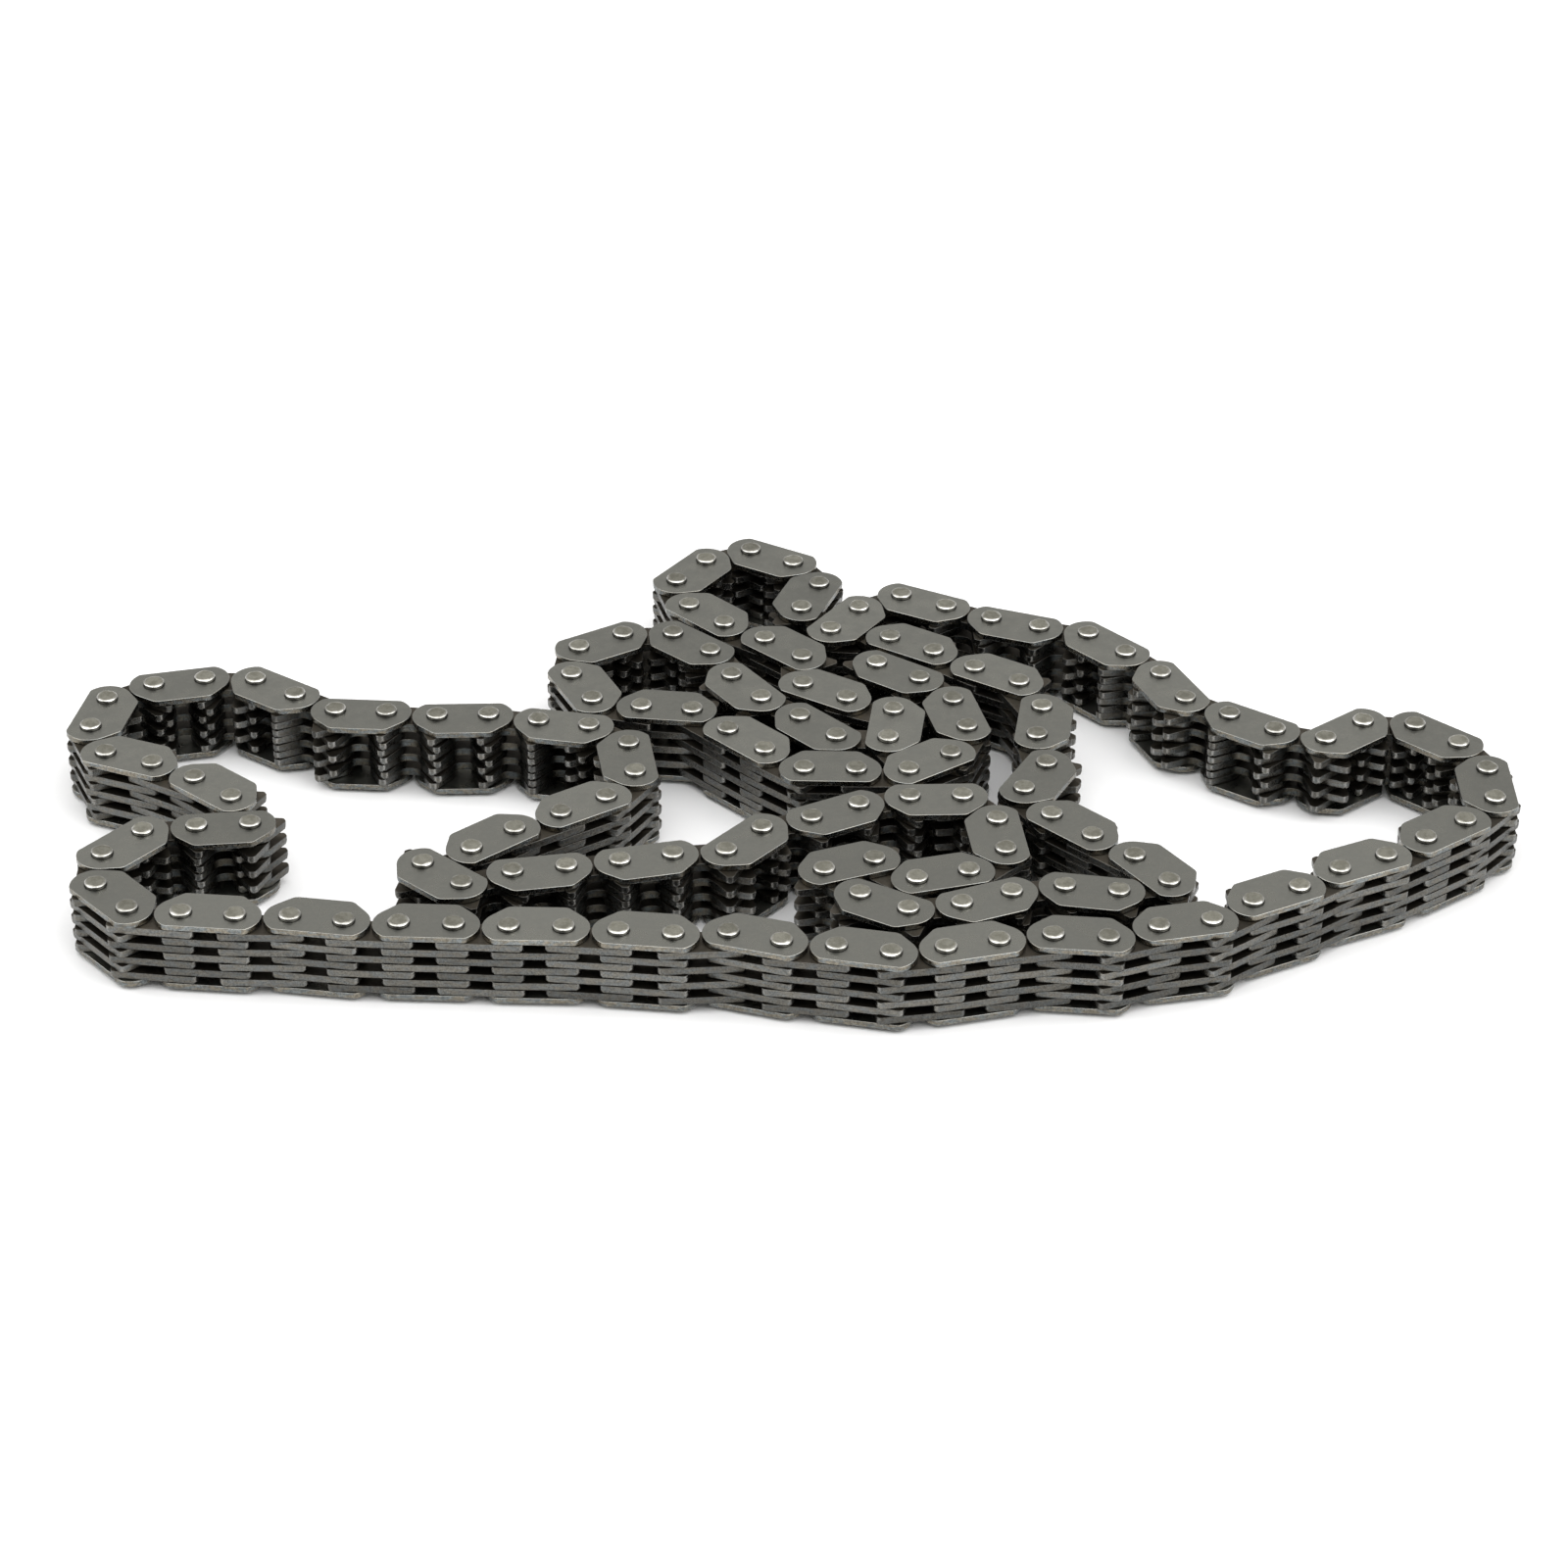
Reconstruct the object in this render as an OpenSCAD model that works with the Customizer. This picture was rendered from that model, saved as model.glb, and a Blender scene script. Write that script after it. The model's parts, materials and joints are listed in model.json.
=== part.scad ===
// Endless silent timing chain (inverted-tooth chain), laid down on its side as a loose tangled loop.
// Guide links and inner links follow each other by turns. A guide link is two guide plates and three
// tooth plates on two riveted pins. An inner link is four tooth plates that swing on its neighbours'
// pins. The pins stand upright, and the loop rests on their lower ends at z = 0.

/* [Chain] */
// Distance between the axes of neighbouring pins
pitch = 6.35; // [6.3:0.01:6.4]

/* [Pins] */
// Diameter of a pin
pin_d = 2.54; // [2.4:0.01:2.56]
// How far a riveted pin end stands out of a guide plate
rivet_h = 0.55; // [0.3:0.05:0.8]
// Edge break on the pin ends
rivet_edge = 0.15; // [0.05:0.05:0.25]

/* [Guide plates] */
// Thickness of a guide plate
guide_t = 0.75; // [0.6:0.05:0.9]
// Radius of the round ends, about the pin axes
guide_end_r = 3.08; // [2.95:0.01:3.1]
// Height of the crown edge above the pin line
guide_crown = 3.98; // [3.8:0.02:4.1]
// Half length of the crown edge, before its corners are rounded
guide_crown_half = 3.45; // [3.3:0.05:3.6]
// Corner radius of the crown
guide_crown_r = 1.2; // [0.8:0.1:1.6]

/* [Tooth plates] */
// Thickness of a tooth plate
tooth_t = 1.04; // [0.9:0.01:1.05]
// Free play between two stacked plates
layer_play = 0.03; // [0.02:0.01:0.05]
// Height of the tooth tips above the pin line
tip_h = 4.4; // [4.2:0.05:4.5]
// Half width of a tooth tip, before its corners are rounded
tip_half = 0.38; // [0.3:0.02:0.4]
// Height of the crotch between the two teeth above the pin line
crotch_h = 1.3; // [1.1:0.1:1.6]
// Angle of the tooth flanks from the upright
flank_angle = 30; // [28:1:31]
// How far a tooth plate reaches past the pin axes
tooth_end = 2.25; // [2:0.05:2.3]
// How far the back edge reaches past the pin axes
back_end = 1.95; // [1.8:0.05:2]

/* [All plates] */
// Distance from the pin line to the flat back edge
back_h = 2.7; // [2.6:0.05:2.75]

/* [Fits] */
// Radial clearance of the fixed plates on their pins, a light drive fit
fixed_gap = 0.01; // [0.01:0.01:0.02]
// Radial clearance of the inner links on the pins, a running fit
running_gap = 0.05; // [0.03:0.01:0.08]

/* [Hidden] */
// Rows of tooth plates between the guide plates: inner links fill the odd ones, guide links the even
rows = 7;
row_pitch = tooth_t + layer_play;
bore_fn = 32;         // makes the bores and pins true cylinders
edge_fn = 64;         // makes the round corners of the guide plates true arcs
guide_colour = "dimgray";
tooth_colour = "gray";
pin_colour = "lightgray";

// Heights of the undersides of the two guide plates and of a row of tooth plates
low_guide_z = rivet_h;
high_guide_z = rivet_h + guide_t + layer_play + rows * row_pitch;
pin_length = high_guide_z + guide_t + rivet_h;
function row_z(row) = rivet_h + guide_t + layer_play + (row - 1) * row_pitch;
inner_rows = [for (row = [1:2:rows]) row];
guide_rows = [for (row = [2:2:rows]) row];

// The lay: heading of each link, in whole degrees anticlockwise from +X. The first is a guide link,
// and the teeth are on the left of the way the loop is followed.
near_run = [
    -48, -7, -5, -1, -8, -3, -2, -3, -1, -5, -6, 4, -16, -8,
    -11, 9, 14, 10, -5, 21, 12, 37, 27, 37, 25, 36, 36, 49];
right_turn = [91, 116, 140, 174, -142];
far_run = [162, 147, 145, 115, 130, 135, 166, 161, 154, 154, -150, -125];
top_loop = [126, 69, 122, 151, -156, -126, -74, -44, -35, -42, -89, -31, -25];
middle_fold = [
    -97, 177, 135, 139, 126, 116, 139, -178, -149, -96, -64, -15, -6,
    -45, -44, -41, -1, 0, 35, 70, 104, 130, 146, 74];
right_fold = [-31, -37, -31, -66, -98, -82, -118, -61, -43, -42, -54];
near_fold = [-161, 171, -169, -158, -169, 151, 131];
centre_loop = [21, -39, 15, 45, 97, 129, -178, -165, -153, -159, -131];
inside_run = [-173, -167, -169, -170, -157, 139];
left_run = [29, 40, 33, 33, 59, 99, 142, 170, 169, -178, 173, 177, 147, 146, 179, -167];
left_turn = [-148, -101, -66, -21, -30, -40, -63, -174, -171];
headings = concat(near_run, right_turn, far_run, top_loop, middle_fold, right_fold,
                  near_fold, centre_loop, inside_run, left_run, left_turn);
links = len(headings) + 2;   // the last two links close the loop

// Pin axes in plan, one pitch apart. The last pin is where two pitches from its neighbours meet.
open_chain = [
    for (i = 0, p = [0, 0]; i < links - 1;
         p = p + (i < links - 2 ? pitch * [cos(headings[i]), sin(headings[i])] : [0, 0]), i = i + 1) p];
gap = open_chain[0] - open_chain[links - 2];
closing_pin = open_chain[links - 2] + gap / 2
    + [gap.y, -gap.x] / norm(gap) * sqrt(pow(pitch, 2) - gap * gap / 4);
loop_pins = concat(open_chain, [closing_pin]);
function pin_at(i) = loop_pins[i % links];
function heading_at(i) = let (d = pin_at(i + 1) - pin_at(i)) atan2(d.y, d.x);
function middle_of(i) = (pin_at(i) + pin_at(i + 1)) / 2;

// The two arms that swing: they start at fixed guide links and meet at the open pivot.
front_root = 8;       // fixed guide link that carries the front arm
corner_root = 36;     // fixed guide link that carries the corner arm
open_pivot = 23;      // pin at which the loop is opened, held by the last guide link of the front arm
front_links = (open_pivot - 1 - front_root) / 2;
corner_inner_links = (corner_root - open_pivot + 1) / 2;
corner_guide_links = corner_inner_links - 1;
function front_inner(n) = front_root + 2 * n - 1;
function front_guide(n) = front_root + 2 * n;
function corner_inner(n) = corner_root - 2 * n + 1;
function corner_guide(n) = corner_root - 2 * n;
fixed_links = [for (i = [0:links - 1]) if (i <= front_root || i >= corner_root) i];
fixed_guide_links = [for (i = fixed_links) if (i % 2 == 0) i];
fixed_inner_links = [for (i = fixed_links) if (i % 2 == 1) i];

// A point at a distance and a bearing from another
function beside(p, r, a) = p + r * [cos(a), sin(a)];

// An outline whose corners [x, y, length] are cut off at that length along both sides
function eased(corners) = let (n = len(corners)) [
    for (i = [0:n - 1])
        let (here = corners[i],
             p = [here.x, here.y],
             before = [corners[(i + n - 1) % n].x, corners[(i + n - 1) % n].y] - p,
             after = [corners[(i + 1) % n].x, corners[(i + 1) % n].y] - p)
            each [p + here.z * before / norm(before), p + here.z * after / norm(after)]];

// The whole outline from its right half, which runs anticlockwise from the back to the crown
function both_halves(right) = concat(
    right, [for (i = [len(right) - 1:-1:0]) [-right[i].x, right[i].y]]);

// Guide plate: flat back, ends round the pins, long chamfers up to a flat crown. The body is drawn
// up to the points where the arcs of the ends and of the crown's corners begin.
to_crown = [guide_crown_half - pitch / 2, guide_crown];
chamfer_normal = atan2(to_crown.y, to_crown.x) - acos(guide_end_r / norm(to_crown));
crown_cut = guide_crown_r * tan((90 - chamfer_normal) / 2);
end_centre = [pitch / 2, 0];
crown_centre = [guide_crown_half - crown_cut, guide_crown - guide_crown_r];
guide_body = both_halves([
    [pitch / 2, -back_h], end_centre, beside(end_centre, guide_end_r, chamfer_normal),
    beside(crown_centre, guide_crown_r, chamfer_normal), crown_centre,
    beside(crown_centre, guide_crown_r, 90)]);

// Tooth plate: flat back and two pointed teeth, one over each pin, with a crotch between them
flank_run = tan(flank_angle);
shoulder_h = tip_h - (tooth_end - tip_half) / flank_run;
crotch_half = pitch / 2 - tip_half - (tip_h - crotch_h) * flank_run;
back_ease = 0.3;
shoulder_ease = 0.3;
tip_ease = 0.18;
crotch_ease = 0.3;
tooth_right = [
    [pitch / 2 + back_end, -back_h, back_ease],
    [pitch / 2 + tooth_end, shoulder_h, shoulder_ease],
    [pitch / 2 + tip_half, tip_h, tip_ease],
    [pitch / 2 - tip_half, tip_h, tip_ease],
    [crotch_half, crotch_h, crotch_ease]];
tooth_corners = concat(
    tooth_right, [for (i = [len(tooth_right) - 1:-1:0]) let (c = tooth_right[i]) [-c.x, c.y, c.z]]);
tooth_outline = eased(tooth_corners);

// Middle of the whole loop in plan, which becomes the origin. Only the guide plates' round ends and
// crowns and the tooth tips reach the loop's outside.
function in_place(q, i) = let (a = heading_at(i))
    middle_of(i) + [q.x * cos(a) - q.y * sin(a), q.x * sin(a) + q.y * cos(a)];
guide_rim = concat(
    [for (a = [-60:5:75])
        each [beside(end_centre, guide_end_r, a), beside(-end_centre, guide_end_r, 180 - a)]],
    guide_body);
plan_points = [
    for (i = [0:links - 1]) each [for (q = i % 2 == 0 ? guide_rim : tooth_outline) in_place(q, i)]];
plan_x = [for (q = plan_points) q.x];
plan_y = [for (q = plan_points) q.y];
loop_middle = [min(plan_x) + max(plan_x), min(plan_y) + max(plan_y)] / 2;

guide_link_pieces = ["guide_plates", "rivet_pins", "tooth_plates"];

// Puts its child on link i, with the pin line along X and the teeth towards +Y
module on_link(i) {
    translate(concat(middle_of(i) - loop_middle, [0])) rotate([0, 0, heading_at(i)]) children();
}

// The bores for the pins, in plan
module bores(gap) {
    for (side = [-1, 1]) translate([side * pitch / 2, 0]) circle(d = pin_d + 2 * gap, $fn = bore_fn);
}

module guide_face() {
    difference() {
        union() {
            polygon(guide_body);
            for (side = [-1, 1]) {
                translate([side * end_centre.x, 0]) circle(guide_end_r, $fn = edge_fn);
                translate([side * crown_centre.x, crown_centre.y]) circle(guide_crown_r, $fn = edge_fn);
            }
        }
        translate([-pitch, -back_h - pitch]) square([2 * pitch, pitch]);
        bores(fixed_gap);
    }
}

module guide_plate(z) {
    color(guide_colour) translate([0, 0, z]) linear_extrude(guide_t) guide_face();
}

// The tooth plates of one link, in the given rows
module tooth_plates(of_rows, gap) {
    color(tooth_colour)
        for (row = of_rows) translate([0, 0, row_z(row)]) linear_extrude(tooth_t)
            difference() {
                polygon(tooth_outline);
                bores(gap);
            }
}

// A riveted pin through all the plates
module rivet_pin() {
    color(pin_colour) rotate_extrude($fn = bore_fn)
        polygon([
            [0, 0], [pin_d / 2 - rivet_edge, 0], [pin_d / 2, rivet_edge],
            [pin_d / 2, pin_length - rivet_edge], [pin_d / 2 - rivet_edge, pin_length], [0, pin_length]]);
}

// The pin of the open pivot: only its lengths inside its own guide link, clear of the inner link's rows
module open_pivot_pin() {
    inner_clear = layer_play / 2;
    intersection() {
        rivet_pin();
        union() {
            for (row = guide_rows)
                translate([-pin_d, -pin_d, row_z(row)]) cube([2 * pin_d, 2 * pin_d, tooth_t]);
            translate([-pin_d, -pin_d, -inner_clear])
                cube([2 * pin_d, 2 * pin_d, low_guide_z + guide_t + inner_clear]);
            translate([-pin_d, -pin_d, high_guide_z]) cube([2 * pin_d, 2 * pin_d, pin_length]);
        }
    }
}

module link_pins(i) {
    on_link(i) for (side = [-1, 1])
        translate([side * pitch / 2, 0, 0])
            if (side == 1 && i + 1 == open_pivot) open_pivot_pin(); else rivet_pin();
}

module link_guide_plates(i) {
    on_link(i) {
        guide_plate(low_guide_z);
        guide_plate(high_guide_z);
    }
}

module guide_link_tooth_plates(i) { on_link(i) tooth_plates(guide_rows, fixed_gap); }

module inner_link_tooth_plates(i) { on_link(i) tooth_plates(inner_rows, running_gap); }

module loop_top_guide_plates() { for (i = fixed_guide_links) on_link(i) guide_plate(high_guide_z); }

module loop_bottom_guide_plates() { for (i = fixed_guide_links) on_link(i) guide_plate(low_guide_z); }

module loop_rivet_pins() { for (i = fixed_guide_links) link_pins(i); }

module loop_guide_link_tooth_plates() { for (i = fixed_guide_links) guide_link_tooth_plates(i); }

module loop_inner_link_tooth_plates() { for (i = fixed_inner_links) inner_link_tooth_plates(i); }

// One of the three kinds of piece in guide link i
module guide_link_piece(i, piece) {
    if (piece == "guide_plates") link_guide_plates(i);
    if (piece == "rivet_pins") link_pins(i);
    if (piece == "tooth_plates") guide_link_tooth_plates(i);
}

loop_top_guide_plates();
loop_bottom_guide_plates();
loop_rivet_pins();
loop_guide_link_tooth_plates();
loop_inner_link_tooth_plates();
for (n = [1:front_links])
    inner_link_tooth_plates(front_inner(n));
for (n = [1:front_links], piece = guide_link_pieces)
    guide_link_piece(front_guide(n), piece);
for (n = [1:corner_inner_links])
    inner_link_tooth_plates(corner_inner(n));
for (n = [1:corner_guide_links], piece = guide_link_pieces)
    guide_link_piece(corner_guide(n), piece);
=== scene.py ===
"""An endless silent timing chain lying on its side: blanked plates and riveted pins in worn steel."""

import json
import math

import bpy
import numpy as np
from mathutils import Matrix, Vector
from mathutils.geometry import tessellate_polygon


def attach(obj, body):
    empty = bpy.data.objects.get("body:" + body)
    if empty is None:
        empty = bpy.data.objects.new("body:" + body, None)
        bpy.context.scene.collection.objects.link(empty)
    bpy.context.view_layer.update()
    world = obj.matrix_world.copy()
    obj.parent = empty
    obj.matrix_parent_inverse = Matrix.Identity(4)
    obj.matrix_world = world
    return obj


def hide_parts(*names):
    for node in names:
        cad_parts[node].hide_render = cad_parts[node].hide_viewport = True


# The photograph's view, in metres and degrees
CAMERA_PLACE = (-0.000114, -0.451372, 0.304490)
CAMERA_PITCH = 33.7745
CAMERA_ROLL = -0.2854
LENS = 100.95

# Sizes in millimetres, as in the part's source. Heights are from the line through a link's two pins.
MM = 0.001
PITCH = 6.35
PIN_R = 1.27
DRIVE_FIT = 0.01  # room round a pin in the plates of a guide link
RUNNING_FIT = 0.05  # and in those of an inner link
GUIDE_THICK = 0.75
TOOTH_THICK = 1.04
BACK_H = 2.7  # how far below the pins every plate's back lies
GUIDE_END_R = 3.08  # radius of a guide plate's ends about its pins
GUIDE_CROWN = 3.98  # height of its crown
GUIDE_CROWN_HALF = 3.45  # half the crown's width before its corners are rounded
GUIDE_CROWN_R = 1.2  # radius of those corners
GUIDE_BACK_R = 0.9  # and of the corners of its back
TIP_H = 4.4  # height of a tooth's tip
TIP_HALF = 0.38  # half the tip's width
CROTCH_H = 1.3
FLANK = math.tan(math.radians(30))  # how far a tooth's flank leans for each millimetre up
TOOTH_END = 2.25  # how far a tooth plate reaches past its pins
TOOTH_BACK_END = 1.95  # and at its back

# How far a measured place may miss and still be taken as the same
Z_MISS = 0.01
PITCH_MISS = 0.02
PLATE_MISS = 0.1

# Details that only the looks have
GUIDE_EDGE = 0.08  # radius of the guide plates' tumbled edges
TOOTH_EDGE = 0.035  # and of the tooth plates'
ROLL_IN = 0.28  # how far the press has drawn in a tooth plate's lower corners
ROLL_UP = 0.45  # and how high up its wall
GAP_SHADE_H = 0.6  # height from the crotch over which the painted shade on the teeth's flanks grows to full
WEAR = 0.12  # width of the band beside an edge over which its marks fade
SHADE_RING_WIDTH = 0.14  # width of the ring of painted shade on a guide plate round a pin
BORE_EDGE = 0.04  # countersink round a pin
BORE_STEPS = 16
PIN_STEPS = 36
GRAIN_DEPTH = 0.00004  # in metres, as the shader takes it
# A riveted rim, from the flat top outward: share of the rim's width, slope in degrees, and its marks
RIM = (
    (0.0, 0, {}),
    (0.3, 8, {"wear": 0.15}),
    (0.6, 18, {"wear": 0.3}),
    (0.82, 34, {"wear": 0.6}),
    (1.0, 54, {"wear": 1.0, "wall": 0.2}),
)
RIM_INNER = 0.70  # radius of the flat top, as a share of the pin's
RIM_LOBES = ((2, 0.07), (3, 0.06), (5, 0.045), (7, 0.03))  # waves round it, and the most each moves its edge
SIDE_SHINE = 0.06  # how far down the pin's side the rim's polish fades

# How far up the grain's pattern each kind of wall starts, so that no two share a patch
EDGE_V = 20
BORE_V = 30
RIM_V = 40
RIM_V_STEP = 0.08

# What the shaders read at each point, from 0 to 1: a wall or a flat face, polish by wear, and painted shade
# in the crevices, down the bores and round the pins' feet
MARKS = ("wall", "wear", "grime")

# Colours, each from its darkest to its lightest patches
GUIDE_FACE = ((0.234, 0.235, 0.214), (0.325, 0.327, 0.296))
GUIDE_WALL = ((0.092, 0.093, 0.087), (0.232, 0.234, 0.214))
# The tooth plates' colours are far darker than the guide plates' same steel: partly painted shade, for the
# windows and the teeth's flanks
TOOTH_FACE_WITH_SHADE = ((0.060, 0.053, 0.041), (0.110, 0.098, 0.080))
TOOTH_WALL_WITH_SHADE = ((0.039, 0.040, 0.037), (0.107, 0.110, 0.101))
PIN_TOP = ((0.238, 0.231, 0.190), (0.420, 0.412, 0.350))
# The pins' sides are darker than their tops: painted shade on the side
PIN_SIDE_WITH_SHADE = ((0.09, 0.088, 0.082), (0.185, 0.181, 0.171))
PIN_RIM = ((0.40, 0.395, 0.37), (0.93, 0.92, 0.90))
PIT = (0.13, 0.125, 0.105)
SCRATCH = (0.36, 0.355, 0.33)
WORN = (0.5, 0.49, 0.465)
# Near black: painted shade for the crevices, the bores and the rings round the pins
PAINTED_SHADE_COLOUR = (0.012, 0.011, 0.009)
BROWN_TO_BLUE = ((1.12, 1.0, 0.86), (0.92, 1.0, 1.1))  # stains, as factors on a wall's colour

# The room's light by height, from the horizon up
ROOM = (
    (0.0, (0.95, 0.95, 0.95)),
    (0.16, (0.8, 0.8, 0.79)),
    (0.38, (0.62, 0.61, 0.59)),
    (0.62, (0.45, 0.44, 0.43)),
    (0.75, (0.45, 0.44, 0.43)),
    (0.95, (0.8, 0.8, 0.8)),
)

rng = np.random.default_rng(7)


# ---------------------------------------------------------------- camera, lights and floor


def make_camera():
    """The photograph's view: from the near side, about a third of the way up to overhead."""
    data = bpy.data.cameras.new("camera")
    data.sensor_width = 36
    data.lens = LENS
    data.clip_start, data.clip_end = 0.01, 20
    camera = bpy.data.objects.new("camera", data)
    pitch, roll = math.radians(CAMERA_PITCH), math.radians(CAMERA_ROLL)
    across = Vector((1, 0, 0))
    down = Vector((0, -math.sin(pitch), -math.cos(pitch)))
    ahead = Vector((0, math.cos(pitch), -math.sin(pitch)))
    c, s = math.cos(roll), math.sin(roll)
    right = c * across + s * down
    up = s * across - c * down
    camera.matrix_world = Matrix(
        (
            (right.x, up.x, -ahead.x, CAMERA_PLACE[0]),
            (right.y, up.y, -ahead.y, CAMERA_PLACE[1]),
            (right.z, up.z, -ahead.z, CAMERA_PLACE[2]),
            (0, 0, 0, 1),
        )
    )
    bpy.context.scene.collection.objects.link(camera)
    bpy.context.scene.camera = camera


def area_light(name, place, aim, size, watts):
    """A white rectangular light at a place, turned to face another."""
    data = bpy.data.lights.new(name, "AREA")
    data.shape = "RECTANGLE"
    data.size, data.size_y = size
    data.energy = watts
    lamp = bpy.data.objects.new(name, data)
    lamp.location = place
    lamp.rotation_euler = (Vector(aim) - Vector(place)).to_track_quat("-Z", "Y").to_euler()
    bpy.context.scene.collection.objects.link(lamp)


def make_studio():
    """A white table between large soft lights, in a room that is brightest low down on the far side."""
    scene = bpy.context.scene
    scene.view_settings.view_transform = "Standard"
    scene.view_settings.look = "None"

    area_light("overhead", (0, -0.25, 0.9), (0, -0.25, 0), (2.4, 1.46), 22)
    area_light("right", (0.55, -0.36, 0.45), (0, 0, 0), (1.0, 0.8), 3.5)
    area_light("left", (-0.66, -0.05, 0.45), (0, 0, 0), (0.6, 0.5), 1.2)
    make_room()
    make_table()


def make_room():
    """The room round the table: its light by height, and dimmer on the near side."""
    world = bpy.data.worlds.new("room")
    bpy.context.scene.world = world
    world.use_nodes = True
    tree = world.node_tree
    background = tree.nodes["Background"]
    direction = put(tree, "ShaderNodeTexCoord").outputs["Generated"]
    parts = put(tree, "ShaderNodeSeparateXYZ", {"Vector": direction}).outputs
    ramp = put(tree, "ShaderNodeValToRGB", {"Fac": parts["Z"]})
    set_ramp(ramp, ROOM)
    tree.links.new(ramp.outputs["Color"], background.inputs["Color"])
    tree.links.new(spread(tree, parts["Y"], -0.8, 0.3, 0.42, 1.0), background.inputs["Strength"])


def make_table():
    """The plain white table top."""
    bpy.ops.mesh.primitive_plane_add(size=6)
    floor = bpy.context.object
    floor.name = "floor"
    mat, tree, surface = material("table_white")
    grain = put(tree, "ShaderNodeTexNoise", {"Scale": 900.0, "Detail": 4.0}).outputs["Fac"]
    tones = {"Value": grain, "To Min": 0.76, "To Max": 0.79}
    tone = put(tree, "ShaderNodeMapRange", tones).outputs["Result"]
    tree.links.new(grey(tree, tone), surface.inputs["Base Color"])
    surface.inputs["Roughness"].default_value = 0.75
    floor.data.materials.append(mat)


# ---------------------------------------------------------------- node helpers


def put(tree, kind, inputs=None, **settings):
    """A new node with its settings, and its inputs as values or as other nodes' outputs."""
    node = tree.nodes.new(kind)
    for key, value in settings.items():
        setattr(node, key, value)
    for key, value in (inputs or {}).items():
        if isinstance(value, bpy.types.NodeSocket):
            tree.links.new(value, node.inputs[key])
        else:
            node.inputs[key].default_value = value
    return node


def set_ramp(node, stops):
    """Colour ramp stops as (place, colour) pairs."""
    elements = node.color_ramp.elements
    while len(elements) < len(stops):
        elements.new(1.0)
    for element, (place, colour) in zip(elements, stops):
        element.position = place
        element.color = (*colour, 1)


def material(name):
    """A new material, its node tree and its Principled shader."""
    mat = bpy.data.materials.new(name)
    mat.use_nodes = True
    return mat, mat.node_tree, mat.node_tree.nodes["Principled BSDF"]


def attribute(tree, name):
    return put(tree, "ShaderNodeAttribute", attribute_name=name).outputs["Fac"]


def math_node(tree, operation, a, b, clamp=False):
    node = put(tree, "ShaderNodeMath", {0: a, 1: b}, operation=operation, use_clamp=clamp)
    return node.outputs["Value"]


def spread(tree, value, low, high, to_low, to_high, smooth=True):
    """Maps low..high to to_low..to_high, held at the ends."""
    node = put(
        tree,
        "ShaderNodeMapRange",
        {"Value": value, "From Min": low, "From Max": high, "To Min": to_low, "To Max": to_high},
        interpolation_type="SMOOTHSTEP" if smooth else "LINEAR",
    )
    return node.outputs["Result"]


def blend(tree, share, first, second):
    """A colour between two, each a triple or an output."""
    node = put(tree, "ShaderNodeMix", data_type="RGBA")
    for socket, value in ((node.inputs[0], share), (node.inputs[6], first), (node.inputs[7], second)):
        if isinstance(value, bpy.types.NodeSocket):
            tree.links.new(value, socket)
        else:
            socket.default_value = (*value, 1) if isinstance(value, tuple) else value
    return node.outputs[2]


def multiply(tree, first, second):
    """Two colours multiplied."""
    node = put(tree, "ShaderNodeMix", {0: 1.0, 6: first, 7: second}, data_type="RGBA", blend_type="MULTIPLY")
    return node.outputs[2]


def grey(tree, value):
    node = put(tree, "ShaderNodeCombineColor", {"Red": value, "Green": value, "Blue": value})
    return node.outputs["Color"]


def plate_coordinates(tree, scale=(1, 1), turn=0.0):
    """Millimetres on the piece's own surface, and a different patch of the pattern for every piece."""
    flat = put(tree, "ShaderNodeUVMap", uv_map="surface_mm").outputs["UV"]
    seed = math_node(tree, "MULTIPLY", attribute(tree, "seed"), 300.0)
    parts = put(tree, "ShaderNodeSeparateXYZ", {"Vector": flat})
    placed = put(tree, "ShaderNodeCombineXYZ", {"X": parts.outputs["X"], "Y": parts.outputs["Y"], "Z": seed})
    turned = put(
        tree,
        "ShaderNodeMapping",
        {"Vector": placed.outputs["Vector"], "Rotation": (0, 0, turn), "Scale": (*scale, 1)},
    )
    return turned.outputs["Vector"]


def noise(tree, vector, scale, detail=3.0, roughness=0.55):
    inputs = {"Vector": vector, "Scale": scale, "Detail": detail, "Roughness": roughness}
    return put(tree, "ShaderNodeTexNoise", inputs).outputs["Fac"]


def add_relief(tree, surface, height, strength):
    """Fine relief on a surface, as deep as GRAIN_DEPTH where the height goes from 0 to 1."""
    bump = put(tree, "ShaderNodeBump", {"Height": height, "Strength": strength, "Distance": GRAIN_DEPTH})
    tree.links.new(bump.outputs["Normal"], surface.inputs["Normal"])


# ---------------------------------------------------------------- materials


def plate_noises(tree):
    """The patterns that a plate's colour, gloss and relief share."""
    plain = plate_coordinates(tree)
    return {
        "smudges": noise(tree, plain, 0.42, 4.0, 0.62),
        "grain": noise(tree, plain, 11.0, 3.0, 0.7),
        "specks": noise(tree, plain, 5.0, 4.0, 0.7),
        "shear": noise(tree, plate_coordinates(tree, (9, 0.7)), 1.0, 4.0, 0.7),
        "tears": noise(tree, plate_coordinates(tree, (3.2, 2.6)), 1.0, 5.0, 0.75),
        "stain_and_shade": noise(tree, plate_coordinates(tree, (0.7, 2.2), 0.1), 1.0, 3.0, 0.6),
    }


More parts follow.
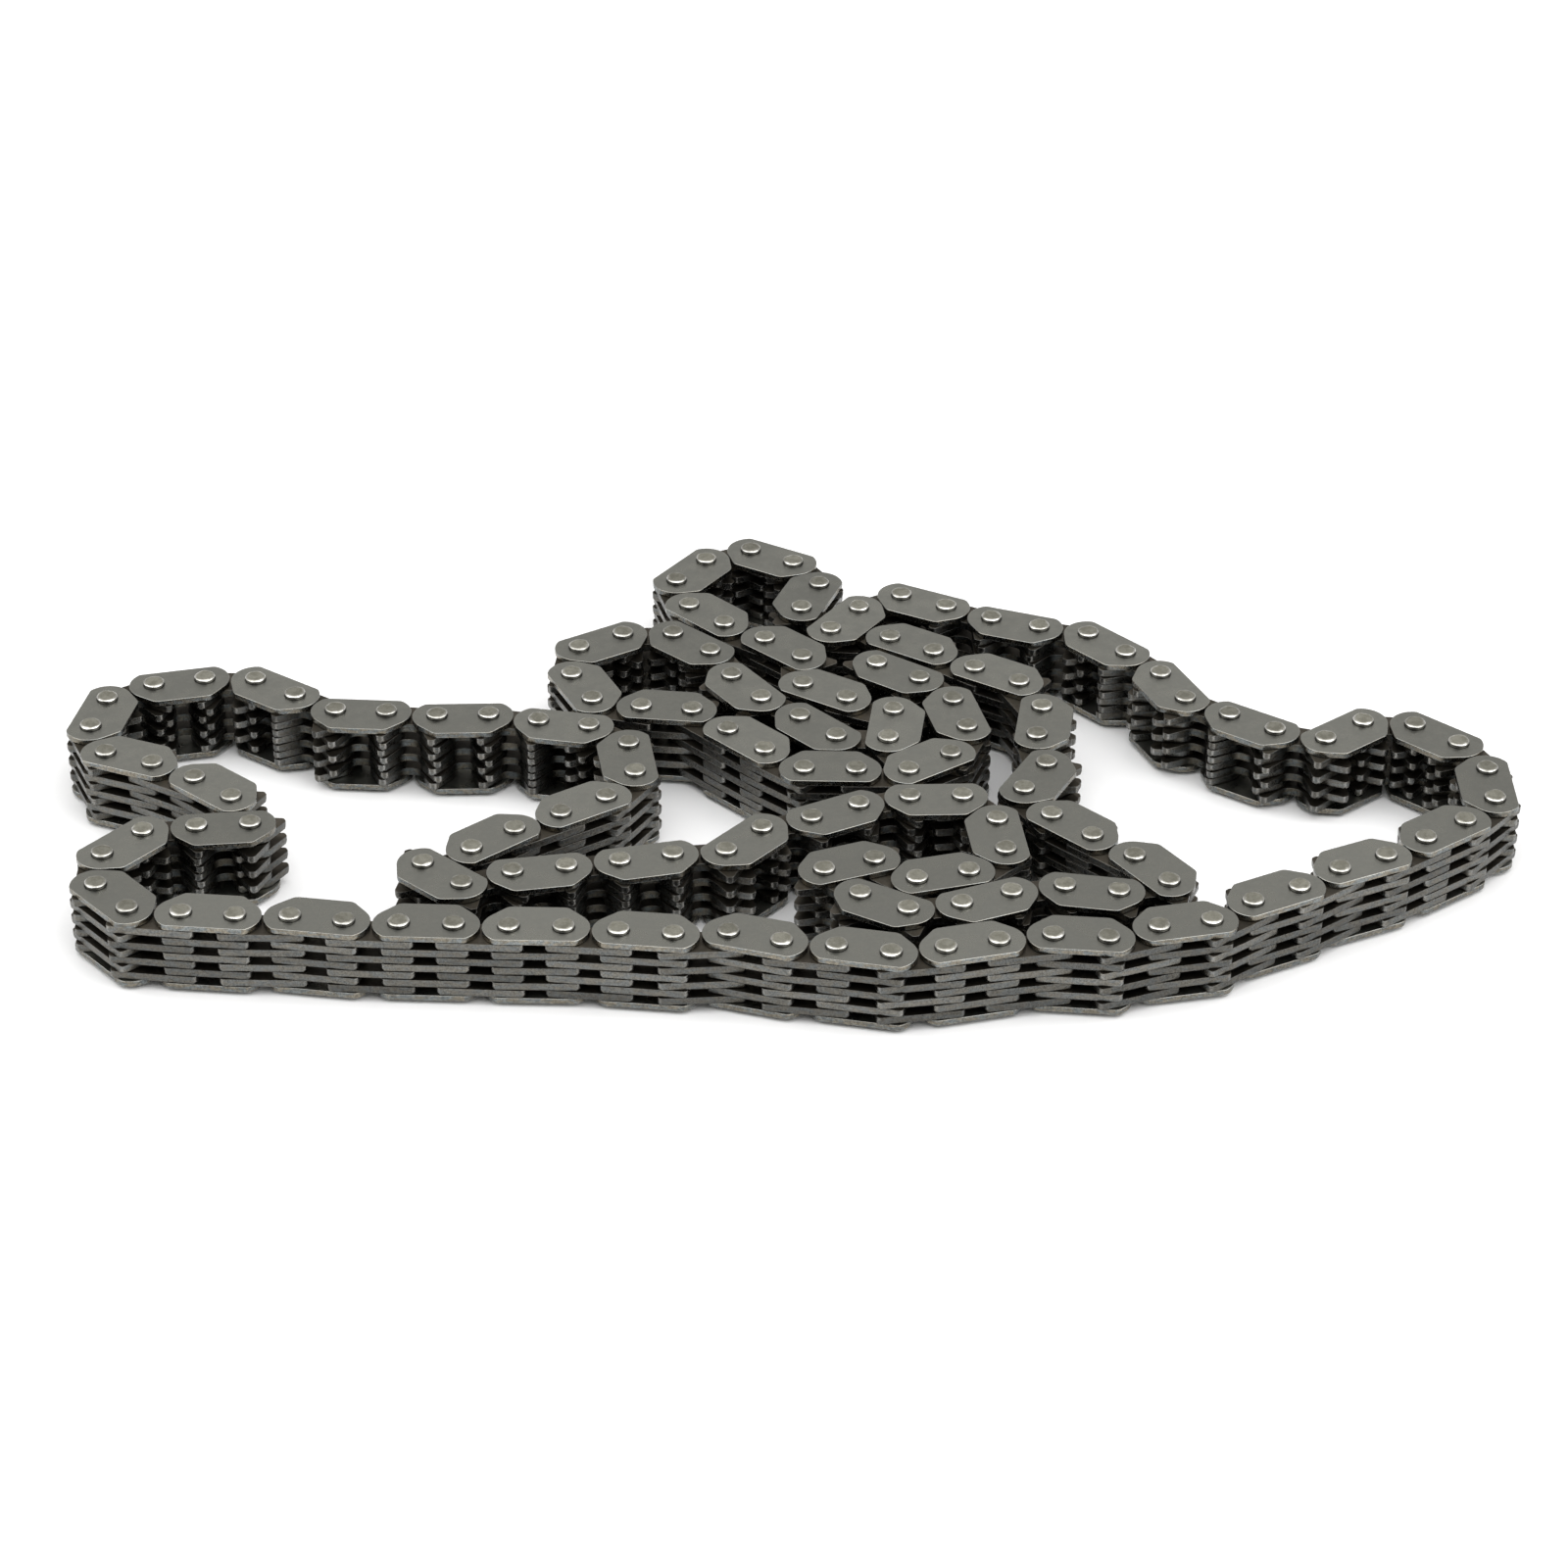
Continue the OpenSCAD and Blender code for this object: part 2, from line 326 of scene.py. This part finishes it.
def face_colour(tree, noises, pair):
    """A plate's flat faces: clouded by smudges, with fine grain and two crossing sets of hairlines."""
    falling = noise(tree, plate_coordinates(tree, (0.35, 9), 0.5), 1.0, 2.0)
    rising = noise(tree, plate_coordinates(tree, (0.3, 8), -0.9), 1.0, 2.0)
    hairlines = math_node(
        tree,
        "MAXIMUM",
        spread(tree, falling, 0.66, 0.74, 0.0, 1.0),
        spread(tree, rising, 0.68, 0.76, 0.0, 1.0),
    )
    colour = blend(tree, spread(tree, noises["smudges"], 0.35, 0.68, 0.0, 1.0), *pair)
    colour = blend(tree, spread(tree, noises["grain"], 0.3, 0.75, 0.0, 0.15), colour, pair[1])
    return blend(tree, math_node(tree, "MULTIPLY", hairlines, 0.1), colour, SCRATCH)


def wall_colour(tree, noises, pair):
    """A plate's walls: torn and sheared by the press, darker in streaks, and stained brown to blue."""
    streaks = noise(tree, plate_coordinates(tree, (0.55, 5.0)), 1.0, 3.0, 0.6)
    colour = blend(tree, spread(tree, noises["tears"], 0.36, 0.66, 0.0, 1.0), *pair)
    colour = blend(tree, spread(tree, noises["shear"], 0.35, 0.75, 0.0, 0.35), colour, pair[1])
    colour = blend(tree, spread(tree, streaks, 0.45, 0.7, 0.0, 0.6), colour, pair[0])
    stains = blend(tree, spread(tree, noises["stain_and_shade"], 0.4, 0.62, 0.0, 1.0), *BROWN_TO_BLUE)
    return multiply(tree, colour, stains)


def plate_steel(name, face, wall, tint_low, face_rough):
    """Heat-treated strip, worn at the corners, with painted shade in the crevices, down the bores and round
    the pins. face and wall are each a pair of colours, dark and light. tint_low is the darkest piece's
    factor on them, and face_rough a face's roughness."""
    mat, tree, surface = material(name)
    on_wall = attribute(tree, "wall")
    noises = plate_noises(tree)

    colour = blend(tree, on_wall, face_colour(tree, noises, face), wall_colour(tree, noises, wall))
    worn = spread(tree, noises["specks"], 0.36, 0.6, 0.3, 1.0)
    worn = math_node(tree, "MULTIPLY", attribute(tree, "wear"), worn, clamp=True)
    colour = blend(tree, worn, colour, WORN)
    # Painted shade: blends toward near black where the shade mark is set, broken up by the stain noise
    shade_share = spread(tree, noises["stain_and_shade"], 0.3, 0.6, 0.95, 0.6)
    shade_share = math_node(tree, "MULTIPLY", attribute(tree, "grime"), shade_share, clamp=True)
    colour = blend(tree, shade_share, colour, PAINTED_SHADE_COLOUR)
    tint = grey(tree, spread(tree, attribute(tree, "seed"), 0.0, 1.0, tint_low, 1.15, smooth=False))
    tree.links.new(multiply(tree, colour, tint), surface.inputs["Base Color"])

    rough = spread(tree, noises["smudges"], 0.3, 0.7, face_rough + 0.06, face_rough - 0.07)
    rough = math_node(tree, "ADD", rough, spread(tree, noises["grain"], 0.3, 0.7, -0.012, 0.016))
    torn = spread(tree, noises["tears"], 0.3, 0.7, -0.14, 0.03)
    rough = math_node(tree, "ADD", rough, math_node(tree, "MULTIPLY", on_wall, torn))
    rough = math_node(tree, "SUBTRACT", rough, math_node(tree, "MULTIPLY", worn, 0.15), clamp=True)
    tree.links.new(rough, surface.inputs["Roughness"])
    surface.inputs["Metallic"].default_value = 1.0

    sheared = math_node(tree, "ADD", noises["shear"], noises["tears"])
    relief = math_node(tree, "MULTIPLY", noises["grain"], 0.08)
    relief = math_node(tree, "ADD", relief, math_node(tree, "MULTIPLY", on_wall, sheared))
    add_relief(tree, surface, relief, 0.5)
    return mat


def pin_steel():
    """Ground pin: a matt peened top, an uneven burnished rim and a smoother side darkened by painted shade.
    """
    mat, tree, surface = material("pin_steel")
    on_side = attribute(tree, "wall")
    burnished = attribute(tree, "wear")
    plain = plate_coordinates(tree)
    blotches = noise(tree, plain, 0.9, 4.0, 0.65)
    pits = noise(tree, plain, 7.0, 3.0, 0.7)
    rings = noise(tree, plate_coordinates(tree, (0.6, 7)), 1.0, 3.0, 0.6)

    patchy = spread(tree, blotches, 0.35, 0.68, 0.0, 1.0)
    top = blend(tree, patchy, *PIN_TOP)
    top = blend(tree, spread(tree, pits, 0.35, 0.7, 0.0, 0.3), top, PIT)
    # The side's colours carry painted shade
    side = blend(tree, spread(tree, rings, 0.3, 0.7, 0.0, 1.0), *PIN_SIDE_WITH_SHADE)
    rim = blend(tree, patchy, *PIN_RIM)
    colour = blend(tree, on_side, top, side)
    colour = blend(tree, burnished, colour, rim)
    tint = grey(tree, spread(tree, attribute(tree, "seed"), 0.0, 1.0, 0.82, 1.1, smooth=False))
    tree.links.new(multiply(tree, colour, tint), surface.inputs["Base Color"])

    matt = spread(tree, blotches, 0.3, 0.7, 0.46, 0.34)
    smooth = spread(tree, rings, 0.3, 0.7, 0.19, 0.30)
    polished = math_node(tree, "MAXIMUM", on_side, burnished)
    rough = put(tree, "ShaderNodeMix", {0: polished, 2: matt, 3: smooth}, data_type="FLOAT").outputs[0]
    tree.links.new(rough, surface.inputs["Roughness"])
    surface.inputs["Metallic"].default_value = 1.0

    turned = math_node(tree, "MULTIPLY", rings, 0.25)
    relief = math_node(tree, "ADD", math_node(tree, "MULTIPLY", pits, 0.5), turned)
    add_relief(tree, surface, relief, 0.4)
    return mat


# ---------------------------------------------------------------- outlines


def arc(centre, radius, start, end, steps):
    """Points on an arc, with the angles in degrees."""
    angles = np.radians(np.linspace(start, end, steps + 1))
    return [(centre[0] + radius * math.cos(a), centre[1] + radius * math.sin(a)) for a in angles]


def both_halves(right):
    """The whole outline, anticlockwise, from its right half from the back to the crown."""
    return np.array(right + [(-x, y, corner) for x, y, corner in reversed(right)])


def weighted(points, corner):
    """Outline points with how far the wall there belongs to a corner, from 0 to 1."""
    return [(x, y, corner) for x, y in points]


def guide_outline():
    """Round about both pins, flat along the back, and chamfered to a crown."""
    pin = (PITCH / 2, 0)
    to_crown = (GUIDE_CROWN_HALF - PITCH / 2, GUIDE_CROWN)
    reach = math.acos(GUIDE_END_R / math.hypot(*to_crown))
    chamfer = math.degrees(math.atan2(to_crown[1], to_crown[0]) - reach)
    cut = GUIDE_CROWN_R * math.tan(math.radians((90 - chamfer) / 2))
    inner = GUIDE_END_R - GUIDE_BACK_R
    low = BACK_H - GUIDE_BACK_R
    back = (PITCH / 2 + math.sqrt(inner**2 - low**2), -low)
    turn = -math.degrees(math.asin(low / inner))
    crown = (GUIDE_CROWN_HALF - cut, GUIDE_CROWN - GUIDE_CROWN_R)
    return both_halves(
        weighted(arc(back, GUIDE_BACK_R, -90, turn, 4), 0.15)
        + weighted(arc(pin, GUIDE_END_R, turn, chamfer, 14)[1:], 0.0)
        + weighted(arc(crown, GUIDE_CROWN_R, chamfer, 90, 5), 0.1)
    )


def filleted(corners):
    """An outline whose corners (x, y, tangent length, steps, weight) are rounded by arcs."""
    out = []
    count = len(corners)
    for i, (x, y, length, steps, weight) in enumerate(corners):
        here = np.array([x, y])
        before = np.array(corners[i - 1][:2]) - here
        after = np.array(corners[(i + 1) % count][:2]) - here
        a = here + before / np.linalg.norm(before) * length
        b = here + after / np.linalg.norm(after) * length
        half = math.acos(np.dot(before, after) / np.linalg.norm(before) / np.linalg.norm(after)) / 2
        middle = (a + b) / 2 - here
        centre = here + middle / np.linalg.norm(middle) * length / math.cos(half)
        radius = length * math.tan(half)
        first = math.degrees(math.atan2(*(a - centre)[::-1]))
        last = math.degrees(math.atan2(*(b - centre)[::-1]))
        swing = (last - first + 540) % 360 - 180
        ends = (weight / 2, *[weight] * (steps - 1), weight / 2)
        out += [(*p, w) for p, w in zip(arc(centre, radius, first, first + swing, steps), ends)]
    return np.array(out)


def tooth_outline():
    """Two pointed teeth with a crotch between them, and a flat back."""
    shoulder_h = TIP_H - (TOOTH_END - TIP_HALF) / FLANK
    crotch_half = PITCH / 2 - TIP_HALF - (TIP_H - CROTCH_H) * FLANK
    right = [
        (PITCH / 2 + TOOTH_BACK_END, -BACK_H, 0.45, 3, 0.8),
        (PITCH / 2 + TOOTH_END, shoulder_h, 0.35, 1, 0.5),
        (PITCH / 2 + TIP_HALF, TIP_H, 0.24, 3, 1.0),
        (PITCH / 2 - TIP_HALF, TIP_H, 0.24, 3, 1.0),
        (crotch_half, CROTCH_H, 0.75, 3, 0.0),
    ]
    return filleted(right + [(-x, *rest) for x, *rest in reversed(right)])


# ---------------------------------------------------------------- meshes of one piece, in millimetres


class Shape:
    """A mesh being built: points with their marks, and faces with their normals and coordinates."""

    def __init__(self):
        self.points, self.faces, self.normals, self.flat = [], [], [], []
        self.marks = {key: [] for key in MARKS}

    def ring(self, points, z, **marks):
        """Adds a closed row of points at height z, and returns their numbers. A mark not given is 0."""
        first, count = len(self.points), len(points)
        heights = np.broadcast_to(z, count)
        self.points += [(x, y, h) for (x, y), h in zip(points, heights)]
        for key in MARKS:
            self.marks[key] += list(np.broadcast_to(marks.get(key, 0.0), count))
        return list(range(first, first + count))

    def face(self, numbers, normals, flat):
        self.faces.append(tuple(numbers))
        self.normals += [tuple(n) for n in normals]
        self.flat += [tuple(f) for f in flat]

    def strip(self, low, high, low_normals, high_normals, along, low_v, high_v):
        """Joins two rings by quads. along is how far each point is round the outline."""
        count = len(low)
        for i in range(count):
            j = (i + 1) % count
            self.face(
                (low[i], low[j], high[j], high[i]),
                (low_normals[i], low_normals[j], high_normals[j], high_normals[i]),
                ((along[i], low_v), (along[i + 1], low_v), (along[i + 1], high_v), (along[i], high_v)),
            )

    def band(self, outer, inner, up):
        """Flat quads between two rings of the same count, facing up or down."""
        for i in range(len(outer)):
            j = (i + 1) % len(outer)
            quad = (outer[i], outer[j], inner[j], inner[i])
            if not up:
                quad = quad[::-1]
            self.face(quad, [(0, 0, 1 if up else -1)] * 4, [self.points[k][:2] for k in quad])

    def cap(self, rings, up):
        """Fills the space between rings with triangles that face up or down."""
        loops = [[Vector(self.points[k]) for k in r] for r in rings]
        numbers = [k for r in rings for k in r]
        for triangle in tessellate_polygon(loops):
            a, b, c = (numbers[k] for k in triangle)
            pa, pb, pc = (self.points[k] for k in (a, b, c))
            turn = (pb[0] - pa[0]) * (pc[1] - pa[1]) - (pb[1] - pa[1]) * (pc[0] - pa[0])
            if (turn > 0) != up:
                b, c = c, b
            self.face((a, b, c), [(0, 0, 1 if up else -1)] * 3, [self.points[k][:2] for k in (a, b, c)])


def outward(outline):
    """The unit normals of a closed anticlockwise outline, and how far each point is along it."""
    after = np.roll(outline, -1, 0) - outline
    length = np.linalg.norm(after, axis=1)
    after /= length[:, None]
    normal = after + np.roll(after, 1, 0)
    normal = np.stack([normal[:, 1], -normal[:, 0]], 1)
    normal /= np.linalg.norm(normal, axis=1)[:, None]
    return normal, np.concatenate([[0], np.cumsum(length)])


def bore_ring(side, radius):
    """Points of a circle about one of a plate's pin axes."""
    return np.array(arc((side * PITCH / 2, 0), radius, 0, 360, BORE_STEPS)[:-1])


def guide_profile(outline, thickness):
    """A guide plate's edge from below to above, tumbled bright, as (inset, height, tilt, marks)."""
    corner = outline[:, 2]
    slope = GUIDE_EDGE * (1 - math.sqrt(0.5))
    half = [
        (GUIDE_EDGE, 0.0, 90, {"wear": 0.1}),
        (slope, slope, 45, {"wear": 0.3, "wall": 0.5}),
        (0.0, GUIDE_EDGE, 0, {"wear": 0.1 + 0.3 * corner, "wall": 1.0}),
        (0.0, GUIDE_EDGE + WEAR, 0, {"wear": 0.3 * corner, "wall": 1.0}),
    ]
    return mirrored(half, half, thickness)


def tooth_profile(outline, thickness):
    """A tooth plate's edge from below to above: drawn in at the lower corners, almost sharp above."""
    corner = outline[:, 2]
    slope = TOOTH_EDGE * (1 - math.sqrt(0.5))
    # Painted shade on the flanks between two teeth: none at the crotch, full a little higher, less at the
    # corners
    in_gap = np.clip((outline[:, 1] - CROTCH_H) / GAP_SHADE_H, 0, 1) * (1 - corner)
    wall = {"wear": 0.5 * corner, "grime": 0.7 * in_gap, "wall": 1.0}
    bevel = dict(wall, wall=0.6)
    lower = [
        (TOOTH_EDGE + ROLL_IN * corner, 0.0, 90, {}),
        (slope + ROLL_IN * corner / 4, slope + ROLL_UP * corner / 4, 45, bevel),
        (0.0, TOOTH_EDGE + ROLL_UP * corner, 0, wall),
    ]
    upper = [
        (TOOTH_EDGE, 0.0, 90, {"wear": 0.1}),
        (slope, slope, 45, dict(bevel, wear=0.25)),
        (0.0, TOOTH_EDGE, 0, wall),
    ]
    return mirrored(lower, upper, thickness)


def mirrored(lower, upper, thickness):
    """A whole profile from its lower part, and its upper part given upside down."""
    low = [(inset, z, -tilt, marks) for inset, z, tilt, marks in lower]
    high = [(inset, thickness - z, tilt, marks) for inset, z, tilt, marks in reversed(upper)]
    return low + high


def add_face(shape, inner, z, up, bore_r, stain_and_shade):
    """A plate's flat face within a ring. Returns the mouths of its two bores."""
    mouths, holes = [], []
    for side in (-1, 1):
        # Painted shade at each bore's mouth, fading out over the ring round the pin
        mouth = shape.ring(bore_ring(side, bore_r + BORE_EDGE), z, grime=0.8 if stain_and_shade else 0.0)
        mouths.append(mouth)
        if stain_and_shade:
            holes.append(shape.ring(bore_ring(side, bore_r + BORE_EDGE + SHADE_RING_WIDTH), z))
            shape.band(holes[-1], mouth, up)
        else:
            holes.append(mouth)
    shape.cap([inner] + holes, up)
    return mouths


def add_bore(shape, side, bore_r, thickness, low_mouth, high_mouth):
    """The wall of one bore, all in painted shade, between its countersunk mouths on the two faces."""
    angles = np.linspace(0, 2 * math.pi, BORE_STEPS + 1)
    inward = [(-math.cos(a), -math.sin(a), 0) for a in angles[:-1]]
    # Painted shade all down the bore
    low = shape.ring(bore_ring(side, bore_r), BORE_EDGE, wall=1.0, grime=1.0)
    high = shape.ring(bore_ring(side, bore_r), thickness - BORE_EDGE, wall=1.0, grime=1.0)
    for a, b in ((low, low_mouth), (high, low), (high_mouth, high)):
        shape.strip(a, b, inward, inward, angles * bore_r, BORE_V, BORE_V + 1)


def plate_shape(outline, thickness, bore_r, profile, stain_and_shade):
    """A blanked plate with its edge profile and two countersunk bores, each in a ring of painted shade if
    that flag is set. The outline's third column is how far each point belongs to a corner."""
    shape = Shape()
    levels = profile(outline, thickness)
    outline = outline[:, :2]
    normal, along = outward(outline)
    rows = []
    for inset, z, tilt, marks in levels:
        inset = np.broadcast_to(inset, len(outline))[:, None]
        ring = shape.ring(outline - inset * normal, z, **marks)
        flat = math.cos(math.radians(tilt))
        row = [(x * flat, y * flat, math.sin(math.radians(tilt))) for x, y in normal]
        rows.append((ring, row, np.mean(z), inset))
    for (low, low_n, low_z, _), (high, high_n, high_z, _) in zip(rows, rows[1:]):
        shape.strip(low, high, low_n, high_n, along, low_z + EDGE_V, high_z + EDGE_V)

    mouths = []
    for (edge_ring, _, _, inset), z, up in ((rows[0], 0.0, False), (rows[-1], thickness, True)):
        inner = shape.ring(outline - (inset + WEAR) * normal, z)
        shape.band(edge_ring, inner, up)
        mouths.append(add_face(shape, inner, z, up, bore_r, stain_and_shade))
    for side, low_mouth, high_mouth in zip((-1, 1), *mouths):
        add_bore(shape, side, bore_r, thickness, low_mouth, high_mouth)
    return shape


def pin_end(shape, circle, z_end, up):
    """Closes a pin's end: a burnished rim of uneven width round a matt, almost flat top."""
    count = len(circle)
    angle = np.arange(count) * 2 * math.pi / count
    phases = rng.uniform(0, 2 * math.pi, len(RIM_LOBES))
    shares = rng.uniform(0.4, 1.0, len(RIM_LOBES))
    lobes = zip(shares, phases, RIM_LOBES)
    wander = sum(share * size * np.cos(waves * angle + phase) for share, phase, (waves, size) in lobes)
    top_r = (RIM_INNER + wander) * PIN_R
    sign = 1 if up else -1
    rows = []
    radius, slope, drop = top_r, 0.0, 0.0
    for step, (share, tilt, marks) in enumerate(RIM):
        after = top_r + (PIN_R - top_r) * share
        drop = drop + (after - radius) * math.tan(math.radians(slope + tilt) / 2)
        radius, slope = after, tilt
        ring = shape.ring(circle * radius[:, None], z_end - sign * drop, **marks)
        out, rise = math.sin(math.radians(tilt)), sign * math.cos(math.radians(tilt))
        rows.append((ring, [(x * out, y * out, rise) for x, y in circle], step))
    side = [(x, y, 0) for x, y in circle]
    fade = shape.ring(circle * PIN_R, z_end - sign * (drop + SIDE_SHINE), wall=1.0)
    along = np.linspace(0, 2 * math.pi * PIN_R, count + 1)
    pairs = list(zip(rows, rows[1:])) + [((rows[-1][0], side, len(RIM)), (fade, side, len(RIM) + 1))]
    for (a, an, av), (b, bn, bv) in pairs:
        if up:
            shape.strip(b, a, bn, an, along, RIM_V - bv * RIM_V_STEP, RIM_V - av * RIM_V_STEP)
        else:
            shape.strip(a, b, an, bn, along, RIM_V + av * RIM_V_STEP, RIM_V + bv * RIM_V_STEP)
    middle = shape.ring(circle[:1] * 0, z_end)[0]
    ring = rows[0][0]
    for i in range(count):
        j = (i + 1) % count
        triangle = (middle, ring[i], ring[j]) if up else (middle, ring[j], ring[i])
        shape.face(triangle, [(0, 0, sign)] * 3, [shape.points[k][:2] for k in triangle])
    return fade


def pin_shape(length, top, bottom):
    """A pin, or a length of one. top and bottom say which ends are riveted."""
    shape = Shape()
    circle = np.array([(math.cos(a), math.sin(a)) for a in np.arange(PIN_STEPS) * 2 * math.pi / PIN_STEPS])
    sides = [(x, y, 0) for x, y in circle]
    along = np.linspace(0, 2 * math.pi * PIN_R, PIN_STEPS + 1)
    ends = []
    for z, riveted, up in ((0.0, bottom, False), (length, top, True)):
        if riveted:
            ends.append(pin_end(shape, circle, z, up))
        else:
            ring = shape.ring(circle * PIN_R, z, wall=1.0)
            shape.cap([ring], up)
            ends.append(ring)
    shape.strip(ends[0], ends[1], sides, sides, along, 0.0, length)
    return shape


# ---------------------------------------------------------------- reading the frame


def solids(node):
    """The points of each separate solid of a CAD node, in millimetres."""
    mesh = frame["nodes"][node].data
    points = np.empty(len(mesh.vertices) * 3, np.float32)
    mesh.vertices.foreach_get("co", points)
    points = points.reshape(-1, 3) / MM
    edges = np.empty(len(mesh.edges) * 2, np.int32)
    mesh.edges.foreach_get("vertices", edges)
    _, same = np.unique(np.round(points * 1000).astype(np.int64), axis=0, return_inverse=True)
    same = same.ravel()
    edges = same[edges].reshape(-1, 2)
    label = np.arange(same.max() + 1)
    while True:
        lowest = np.minimum(label[edges[:, 0]], label[edges[:, 1]])
        merged = label.copy()
        np.minimum.at(merged, edges[:, 0], lowest)
        np.minimum.at(merged, edges[:, 1], lowest)
        merged = merged[merged]
        if (merged == label).all():
            break
        label = merged
    owner = label[same]
    return [points[owner == k] for k in np.unique(owner)]


def plate_place(points, pins):
    """Where a plate lies in plan: its middle, and the way along it with its crown to the left."""
    flat = points[:, :2]
    near = pins[np.linalg.norm(pins - flat.mean(0), axis=1) < PITCH]
    best = None
    for i in range(len(near)):
        for j in range(len(near)):
            way = near[j] - near[i]
            if abs(np.linalg.norm(way) - PITCH) > PITCH_MISS:
                continue
            way = way / PITCH
            crown = np.array([-way[1], way[0]])
            middle = (near[i] + near[j]) / 2
            u, v = (flat - middle) @ way, (flat - middle) @ crown
            miss = abs(u.max() + u.min()) + abs(v.min() + BACK_H)
            if best is None or miss < best[0]:
                best = (miss, middle, way)
    if best is None or best[0] > PLATE_MISS:
        raise ValueError("a plate has no pair of pins")
    return best[1:]


# ---------------------------------------------------------------- whole pieces


def make_piece(name, placed, node, body, mat):
    """One object from copies of shapes, each placed by its middle, its way along and its height."""
    arrays = {key: [] for key in ("points", "normals", "flat", "seed", "loops", "sizes", *MARKS)}
    count = 0
    for shape, middle, way, z in placed:
        turn = np.array([[way[0], way[1]], [-way[1], way[0]]])
        points, normals = np.array(shape.points), np.array(shape.normals)
        arrays["points"].append(np.column_stack([points[:, :2] @ turn + middle, points[:, 2] + z]))
        arrays["normals"].append(np.column_stack([normals[:, :2] @ turn, normals[:, 2]]))
        arrays["flat"].append(np.array(shape.flat))
        for key in MARKS:
            arrays[key].append(np.array(shape.marks[key]))
        arrays["seed"].append(np.full(len(points), rng.uniform()))
        arrays["loops"].append(np.concatenate(shape.faces) + count)
        arrays["sizes"].append(np.array([len(f) for f in shape.faces]))
        count += len(points)
    data = {key: np.concatenate(value) for key, value in arrays.items()}

    mesh = bpy.data.meshes.new(name)
    mesh.vertices.add(count)
    mesh.vertices.foreach_set("co", (data["points"] * MM).ravel())
    mesh.loops.add(len(data["loops"]))
    mesh.loops.foreach_set("vertex_index", data["loops"])
    starts = np.concatenate([[0], np.cumsum(data["sizes"])[:-1]])
    mesh.polygons.add(len(starts))
    mesh.polygons.foreach_set("loop_start", starts)
    mesh.update(calc_edges=True)
    mesh.polygons.foreach_set("use_smooth", np.ones(len(starts), bool))
    for key in ("seed", *MARKS):
        mesh.attributes.new(key, "FLOAT", "POINT").data.foreach_set("value", data[key].astype(np.float32))
    layer = mesh.uv_layers.new(name="surface_mm")
    layer.data.foreach_set("uv", data["flat"].astype(np.float32).ravel())
    mesh.normals_split_custom_set(data["normals"].astype(np.float32))
    mesh.materials.append(mat)
    piece = bpy.data.objects.new(name, mesh)
    bpy.context.scene.collection.objects.link(piece)
    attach(piece, body)
    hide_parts(node)


def plate_copies(node, shape, pins):
    """A copy of a plate's shape for each of a node's solids."""
    placed = []
    for points in solids(node):
        middle, way = plate_place(points, pins)
        placed.append((shape, middle, way, points[:, 2].min()))
    return placed


def pin_copies(groups, top):
    """A pin of its own for each solid. Those that reach the chain's top or the table are riveted there."""
    placed = []
    for points in groups:
        z0, z1 = points[:, 2].min(), points[:, 2].max()
        middle = (points.min(0) + points.max(0))[:2] / 2
        shape = pin_shape(z1 - z0, z1 > top - Z_MISS, z0 < Z_MISS)
        placed.append((shape, middle, (1.0, 0.0), z0))
    return placed


make_camera()
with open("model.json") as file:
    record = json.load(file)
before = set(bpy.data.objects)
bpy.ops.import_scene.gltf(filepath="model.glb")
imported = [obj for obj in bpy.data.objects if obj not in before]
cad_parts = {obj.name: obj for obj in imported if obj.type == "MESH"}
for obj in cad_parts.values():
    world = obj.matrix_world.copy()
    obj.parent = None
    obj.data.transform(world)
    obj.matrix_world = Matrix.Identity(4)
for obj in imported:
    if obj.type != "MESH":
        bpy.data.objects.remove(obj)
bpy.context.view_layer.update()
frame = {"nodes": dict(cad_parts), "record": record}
make_studio()

steels = {
    "guide_plates": plate_steel("guide_steel", GUIDE_FACE, GUIDE_WALL, tint_low=0.92, face_rough=0.32),
    "tooth_plates": plate_steel("tooth_steel", TOOTH_FACE_WITH_SHADE, TOOTH_WALL_WITH_SHADE, tint_low=0.68, face_rough=0.42),
    "rivet_pins": pin_steel(),
}

pin_solids = {n: solids(n) for n in frame["nodes"] if n.endswith("rivet_pins")}
centres = [(s.min(0) + s.max(0))[:2] / 2 for group in pin_solids.values() for s in group]
pin_centres = np.unique(np.round(centres, 3), axis=0)
chain_top = max(s[:, 2].max() for group in pin_solids.values() for s in group)

guide = plate_shape(guide_outline(), GUIDE_THICK, PIN_R + DRIVE_FIT, guide_profile, True)
guide_tooth = plate_shape(tooth_outline(), TOOTH_THICK, PIN_R + DRIVE_FIT, tooth_profile, False)
inner_tooth = plate_shape(tooth_outline(), TOOTH_THICK, PIN_R + RUNNING_FIT, tooth_profile, False)

for body, nodes in frame["record"]["behaviour"]["bodies"].items():
    for node in nodes:
        kind = next(k for k in steels if node.endswith(k))
        if kind == "rivet_pins":
            placed = pin_copies(pin_solids[node], chain_top)
        elif kind == "guide_plates":
            placed = plate_copies(node, guide, pin_centres)
        else:
            placed = plate_copies(node, inner_tooth if "inner" in node else guide_tooth, pin_centres)
        make_piece(node + "_finished", placed, node, body, steels[kind])
